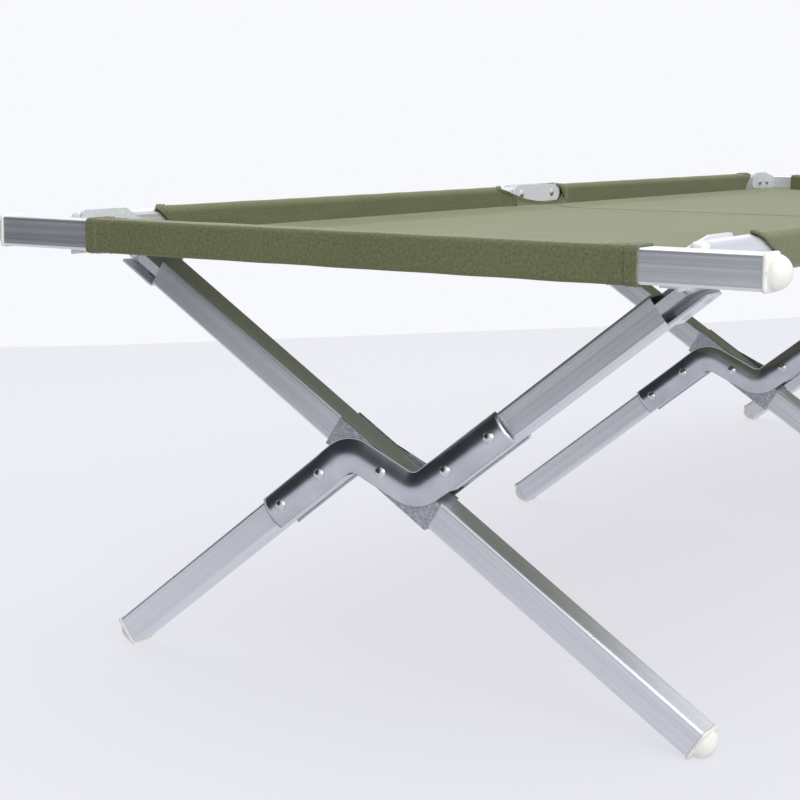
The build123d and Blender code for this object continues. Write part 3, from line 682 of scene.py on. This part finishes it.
def hinge_lip(side):
    """Edge of the cover that passes under a hinge plate: a strip that stands up against the plate's inner
    face. Its top edge follows the scoop of the side sleeves, and it curls over a little along that
    edge."""
    lip_y = np.linspace(hinge_y - 66 * MM, hinge_y + 73 * MM, 60)
    places = np.array([-66, -36, -7, 23, 53, 62, 68, 73]) * MM + hinge_y
    tops = np.array([429, 422.5, 419, 416.5, 416.5, 418, 421, 427]) * MM
    top = np.interp(lip_y, places, tops)
    for _ in range(3):
        top[1:-1] = (top[:-2] + 2 * top[1:-1] + top[2:]) / 4
    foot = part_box("bed_sheet_front")[1][2] - 0.5 * MM
    share = np.linspace(0, 1, 9)
    height = foot + (top[:, None] - foot) * share
    plate = abs(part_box("rail_hinge_plates_left")[1][0])
    lean = LIP_FOOT * (1 - share) ** 2.5 + LIP_CURL * share ** 6
    outer = side * (plate - LIP_ROOM - lean) + 0 * height
    skins = [
        np.stack([outer - side * depth, np.broadcast_to(lip_y[:, None], height.shape), height], axis=-1)
        for depth in (CLOTH, 0.0)
    ]
    faces = shell_faces(*height.shape)
    if side < 0:
        faces = [f[:, ::-1] for f in faces]
    uv = np.stack([height, np.broadcast_to(lip_y[:, None], height.shape)], axis=-1).reshape(-1, 2)
    block = np.concatenate([skin.reshape(-1, 3) for skin in skins]), faces, np.concatenate([uv, uv])
    stitches = []
    for drop in LIP_STITCHES:
        path = np.stack([0 * lip_y + outer[:, -1] - side * CLOTH, lip_y, top - drop], axis=-1)
        path[:, 0] += side * 0.1 * MM
        stitches.append(stitch_block(path, np.tile([-side, 0.0, 0.0], (len(lip_y), 1))))
    return block, stitches


def seam_strip():
    """Band behind the mid seam: it lies under the edges of the two sheets, rises to their level between
    them, and ends in the two lips under the hinge plates."""
    front_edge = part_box("bed_sheet_front")[1][1] + 0.1 * MM
    back_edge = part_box("bed_sheet_back")[0][1] - 0.1 * MM
    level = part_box("bed_sheet_front")[1][2]

    def raised(x, y):
        return level + turned_up(x, SEAM_RISE) + 0 * y

    xs = sheet_half * np.sin(np.linspace(-pi / 2, pi / 2, 81))
    blocks = [flat_block(xs, np.linspace(front_edge, back_edge, 16), raised)]
    for ys in (np.linspace(band_lo[1], front_edge, 8), np.linspace(back_edge, band_hi[1], 8)):
        xs = np.linspace(band_lo[0], band_hi[0], 30)
        blocks.append(flat_block(xs, ys, lambda x, y: band_hi[2] + 0 * x))
    stitches = []
    for side in (-1, 1):
        lip, lip_stitches = hinge_lip(side)
        blocks.append(lip)
        stitches += lip_stitches
    made = cloth_object(
        "mid_seam_cloth",
        blocks,
        stitches,
        "left_link",
        "seam_band",
    )
    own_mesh(made)


def link_block(crossing_y, face, crossing):
    """Pressed Z link: an arched strip swept along two straight arms and a sloping middle joined by arcs.
    Across its width w the crown falls as the square of the distance from the middle line, and the rims
    come down from their rise over the saddle at the crossing to the tubes' faces along the arms. face
    is -1 in front of the tubes and 1 behind them."""
    bend = LINK_BEND
    corner = LINK_STEP
    slope = atan2(2 * CRANK_OFFSET, 2 * corner)
    trim = bend * np.tan(slope / 2)
    arm = np.array([[LINK_REACH, -CRANK_OFFSET], [corner + trim, -CRANK_OFFSET]])
    swing = np.linspace(0, slope, 15)
    centre = np.array([corner + trim, -CRANK_OFFSET + bend])
    arc = centre + bend * np.stack([-np.sin(swing), -np.cos(swing)], axis=-1)
    straight = arm[0] + (arm[1] - arm[0]) * np.linspace(0, 1, 26)[:, None]
    upper = np.concatenate([straight, arc[1:]])
    path = np.concatenate([upper, -upper[::-1]])
    keep = np.concatenate([[True], np.linalg.norm(np.diff(path, axis=0), axis=1) > 1e-6])
    path = path[keep]
    tangent = np.gradient(path, axis=0)
    tangent /= np.linalg.norm(tangent, axis=1)[:, None]
    across = np.stack([-tangent[:, 1], tangent[:, 0]], axis=-1)
    station = np.abs(path[:, 0])
    rim = half_tube + 0.4 * MM + (LINK_RISE - 0.4 * MM) / (1 + np.exp((station - 50 * MM) / (3.5 * MM)))
    w = np.linspace(-1, 1, 25)
    crown = half_tube + LINK_CROWN
    outer = rim[:, None] + (crown - rim)[:, None] * (1 - np.abs(w) ** 2.2)
    lip = 0.5 * MM * np.clip((np.abs(w) - 0.93) / 0.07, 0, 1) ** 2
    skins = []
    for depth in (0.0, LINK_SHEET):
        level = np.maximum(outer - depth - lip * (depth == 0), rim[:, None] - 0.1 * MM)
        flat = path[:, None, :] + across[:, None, :] * (w * LINK_WIDTH / 2)[None, :, None]
        points = (
            crossing
            + flat[..., :1] * crank_up
            + flat[..., 1:] * crank_side
            + np.array([0, 1, 0]) * (face * level)[..., None]
        )
        points[..., 1] += crossing_y - crossing[1]
        skins.append(points)
    faces = shell_faces(*outer.shape)
    if face > 0:
        faces = [f[:, ::-1] for f in faces]
    points = np.concatenate([skin.reshape(-1, 3) for skin in skins])
    return points, faces, np.zeros((len(points), 2))


def pressed_links():
    """Front and rear link of each X frame."""
    for end, places in (("front", (crossings["front"][1], middle_y)), ("back", (crossings["back"][1],))):
        blocks = [link_block(y, face, crossings[end]) for y in places for face in (-1, 1)]
        points, faces, uv = joined(blocks)
        made = mesh_piece(f"pressed_links_{end}", points, faces, uv)
        made.data.materials.append(link_steel)
        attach(made, f"legs_b_{end}")
        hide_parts(f"crank_links_{end}")


def cap_block(seat, outward, up, dome=CAP_DOME):
    """Cap on a square tube's end: a flange with a rounded square outline and soft edges, and on it a
    spherical dome. The flange's rings are superellipses of power 9, the dome's are circles. No point
    lies below the floor."""
    flange, thickness = half_tube + CAP_LIP, CAP_FLANGE
    outward, up = np.array(outward, float), np.array(up, float)
    side = np.cross(outward, up)
    ball = (CAP_DOME_RADIUS ** 2 + dome ** 2) / (2 * dome)
    polar = np.linspace(asin(min(CAP_DOME_RADIUS / ball, 1)), 0.02, 14)
    soft = min(0.7 * MM, thickness / 3)
    halves = [0.05 * MM, flange - soft, flange, flange, flange - soft]
    heights = [0, 0, soft, thickness - soft, thickness]
    halves = np.concatenate([halves, [CAP_DOME_RADIUS + 0.5 * MM], ball * np.sin(polar)])
    dome_heights = thickness + 0.3 * MM + dome - ball + ball * np.cos(polar)
    heights = np.concatenate([heights, [thickness], dome_heights])
    powers = np.concatenate([np.full(5, 9.0), np.full(1 + len(polar), 2.0)])[:, None]
    turn = np.arange(48) / 48 * 2 * pi
    spread = (np.abs(np.cos(turn)) ** powers + np.abs(np.sin(turn)) ** powers) ** (-1 / powers)
    across = halves[:, None] * spread
    points = (
        np.array(seat)
        + (across * np.cos(turn))[..., None] * side
        + (across * np.sin(turn))[..., None] * up
        + heights[:, None, None] * outward
    )
    points[..., 2] = np.maximum(points[..., 2], 0.0)
    rows, columns = across.shape
    index = np.arange(rows * columns).reshape(rows, columns)
    flat = points.reshape(-1, 3)
    return flat, [grid_faces(rows, columns, True), index[:1, ::-1], index[-1:]], np.zeros((len(flat), 2))


def plug_block(seat, outward):
    """Plug on a rail's end: the rail's rounded outline swept straight out, and then drawn in along a
    quarter circle to a flat nose."""
    turn = np.linspace(0, pi / 2, 12)
    inset = np.concatenate([[0.0], PLUG_ROUND * (1 - np.cos(turn))])
    height = np.concatenate([[0.0], PLUG_NOSE - PLUG_ROUND + PLUG_ROUND * np.sin(turn)])
    rings = []
    for drawn_in, stand in zip(inset, height):
        corner = max(RAIL_CORNER - drawn_in, 0.2 * MM)
        ring = rounded_loop(rail_half - drawn_in, half_tube - drawn_in, corner, 64)[0]
        rings.append(np.column_stack([ring[:, 0], np.full(64, stand * outward), ring[:, 1]]))
    points = np.array(seat) + np.stack(rings)
    rows = len(height)
    index = np.arange(rows * 64).reshape(rows, 64)
    faces = [grid_faces(rows, 64, True), index[:1, ::-1], index[-1:]]
    if outward > 0:
        faces = [f[:, ::-1] for f in faces]
    return points.reshape(-1, 3), faces, np.zeros((rows * 64, 2))


def caps(name, body, cad_node, blocks):
    """White caps as one piece."""
    points, faces, uv = joined(blocks)
    made = mesh_piece(name, points, faces, uv)
    made.data.materials.append(plastic)
    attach(made, body)
    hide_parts(cad_node)


def tube_end(cad_node, crossing, direction, offset):
    """Centre of a leg tube's far end: the farthest of the tube's points along its direction."""
    points = np.array([v.co for v in frame["nodes"][cad_node].data.vertices])
    station = ((points - crossing) @ direction).max()
    return crossing + station * direction + offset


def white_caps():
    """Caps of the end bars, rails and feet."""
    for end, sign in (("front", 1), ("back", -1)):
        y = sign * bar_y
        seats = [((s * bar_hi[0], y, bar_z), (s, 0, 0), (0, 0, 1), BAR_CAP_DOME) for s in (-1, 1)]
        caps(f"bar_caps_{end}", f"{end}_bar", f"end_bar_caps_{end}", [cap_block(*seat) for seat in seats])
        for side, x in (("left", rail_x), ("right", -rail_x)):
            lo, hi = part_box(f"rail_{side}_{end}")
            rail_end = lo[1] if end == "front" else hi[1]
            caps(
                f"rail_caps_{side}_{end}", f"{side}_{end}", f"rail_plug_{side}_{end}",
                [plug_block((x, rail_end, rail_z), -sign)],
            )
        ys = (crossings["front"][1], middle_y) if end == "front" else (crossings["back"][1],)
        crossing = crossings[end]
        straight_foot = tube_end(f"straight_legs_{end}", crossing, straight_down, np.zeros(3))
        crank_foot = tube_end(f"crank_lower_tubes_{end}", crossing, -crank_up, crank_side * CRANK_OFFSET)
        feet = (("straight", straight_foot, straight_down), ("crank", crank_foot, -crank_up))
        for kind, foot, down in feet:
            seats = [
                ((foot[0], y, foot[2]), down, np.cross(down, (0, 1, 0))) for y in ys
            ]
            body = f"legs_{'a' if kind == 'straight' else 'b'}_{end}"
            blocks = [cap_block(*seat) for seat in seats]
            caps(f"{kind}_foot_caps_{end}", body, f"{kind}_leg_feet_{end}", blocks)


def dress_cad():
    """Gives every CAD node that still shows its finish by the kind of piece it is."""
    for name, made in frame["nodes"].items():
        if "rivets" in name or "pins" in name:
            finish = rivet_steel
        elif name.startswith("leg_saddles"):
            finish = saddle_zinc
        elif name.startswith(("rail_left", "rail_right")):
            finish = tube_finishes["rail"]
        elif name.startswith(("end_bar_front", "end_bar_back")):
            finish = tube_finishes["end_bar"]
        elif name.startswith("straight_legs"):
            finish = tube_finishes["straight_legs"]
        elif name.startswith(("crank_lower", "crank_upper")):
            finish = tube_finishes["crank"]
        else:
            finish = plate_steel
        made.data.materials.clear()
        made.data.materials.append(finish)


def lit_world():
    """Surroundings: pale all round, and dark towards the front left and above it, where the room is unlit."""
    world = bpy.data.worlds.new("studio_world")
    world.use_nodes = True
    tree = world.node_tree
    tree.nodes.clear()
    way = node(tree, "ShaderNodeTexCoord").outputs["Generated"]
    toward = np.array(DARK_SIDE) / np.linalg.norm(DARK_SIDE)
    near = node(
        tree, "ShaderNodeVectorMath", {1: toward.tolist()}, {0: way}, operation="DOT_PRODUCT"
    ).outputs["Value"]
    values = {"From Min": np.cos(radians(PALE_HALF)), "From Max": np.cos(radians(DARK_HALF))}
    dark = node(
        tree, "ShaderNodeMapRange", values, {"Value": near}, interpolation_type="SMOOTHSTEP"
    ).outputs[0]
    colour = node(
        tree, "ShaderNodeMix", {6: srgb("#f8f9fd"), 7: srgb("#393a40")}, {"Factor": dark}, data_type="RGBA"
    ).outputs[2]
    sky = node(tree, "ShaderNodeBackground", {"Strength": 1.0}, {"Color": colour})
    node(tree, "ShaderNodeOutputWorld", links={"Surface": sky.outputs[0]})
    bpy.context.scene.world = world


def pale_floor():
    """Pale floor that ends in front of and left of the cot, and behind it along a bent line."""
    view = np.array([-np.sin(radians(CAMERA_YAW)), np.cos(radians(CAMERA_YAW))])
    across = np.array([view[1], -view[0]])
    foot = np.array(FLOOR_END)
    lead_in = foot[0] + (foot[0] - foot[1]) * 6
    lead_out = foot[-1] + (foot[-1] - foot[-2]) * 12
    line = np.concatenate([[lead_in], foot, [lead_out]])
    near = np.array(FLOOR_FRONT) @ np.stack([across, view])
    floor = np.concatenate([near, line[::-1]])
    points = np.column_stack([floor, np.full(len(floor), -FLOOR_DEPTH)])
    made = mesh_piece("studio_floor", points, [np.arange(len(floor))[None]], smooth=False)
    made.data.materials.append(studio_paper("floor_paper", "#f1f1f8", 0.16, 0.74))


def soft_boxes():
    """Large soft box overhead and a weaker one at the front right."""
    for name, place, aim, size, energy in (
        ("overhead_box", (-0.2, 0.3, 3.0), (0, 0, 0.3), 3.6, 62),
        ("front_right_box", (1.9, -2.3, 1.5), (0.2, -0.6, 0.3), 1.4, 32),
    ):
        light = bpy.data.lights.new(name, "AREA")
        light.shape = "SQUARE"
        light.size = size
        light.energy = energy
        made = bpy.data.objects.new(name, light)
        made.location = place
        made.rotation_euler = (Vector(place) - Vector(aim)).to_track_quat("Z", "Y").to_euler()
        bpy.context.scene.collection.objects.link(made)


def camera():
    view = bpy.data.cameras.new("photo_view")
    view.lens = CAMERA_LENS
    view.sensor_width = 36
    made = bpy.data.objects.new("photo_view", view)
    made.matrix_world = (
        Matrix.Translation(CAMERA_PLACE)
        @ Matrix.Rotation(radians(CAMERA_YAW), 4, "Z")
        @ Matrix.Rotation(radians(90 + CAMERA_PITCH), 4, "X")
        @ Matrix.Rotation(radians(CAMERA_ROLL), 4, "Z")
    )
    bpy.context.scene.collection.objects.link(made)
    bpy.context.scene.camera = made


side_sleeves()
end_sleeves()
bed_sheets()
seam_strip()
pressed_links()
white_caps()
dress_cad()
lit_world()
pale_floor()
soft_boxes()
camera()
bpy.context.scene.view_settings.view_transform = "Standard"
bpy.context.scene.view_settings.look = "None"
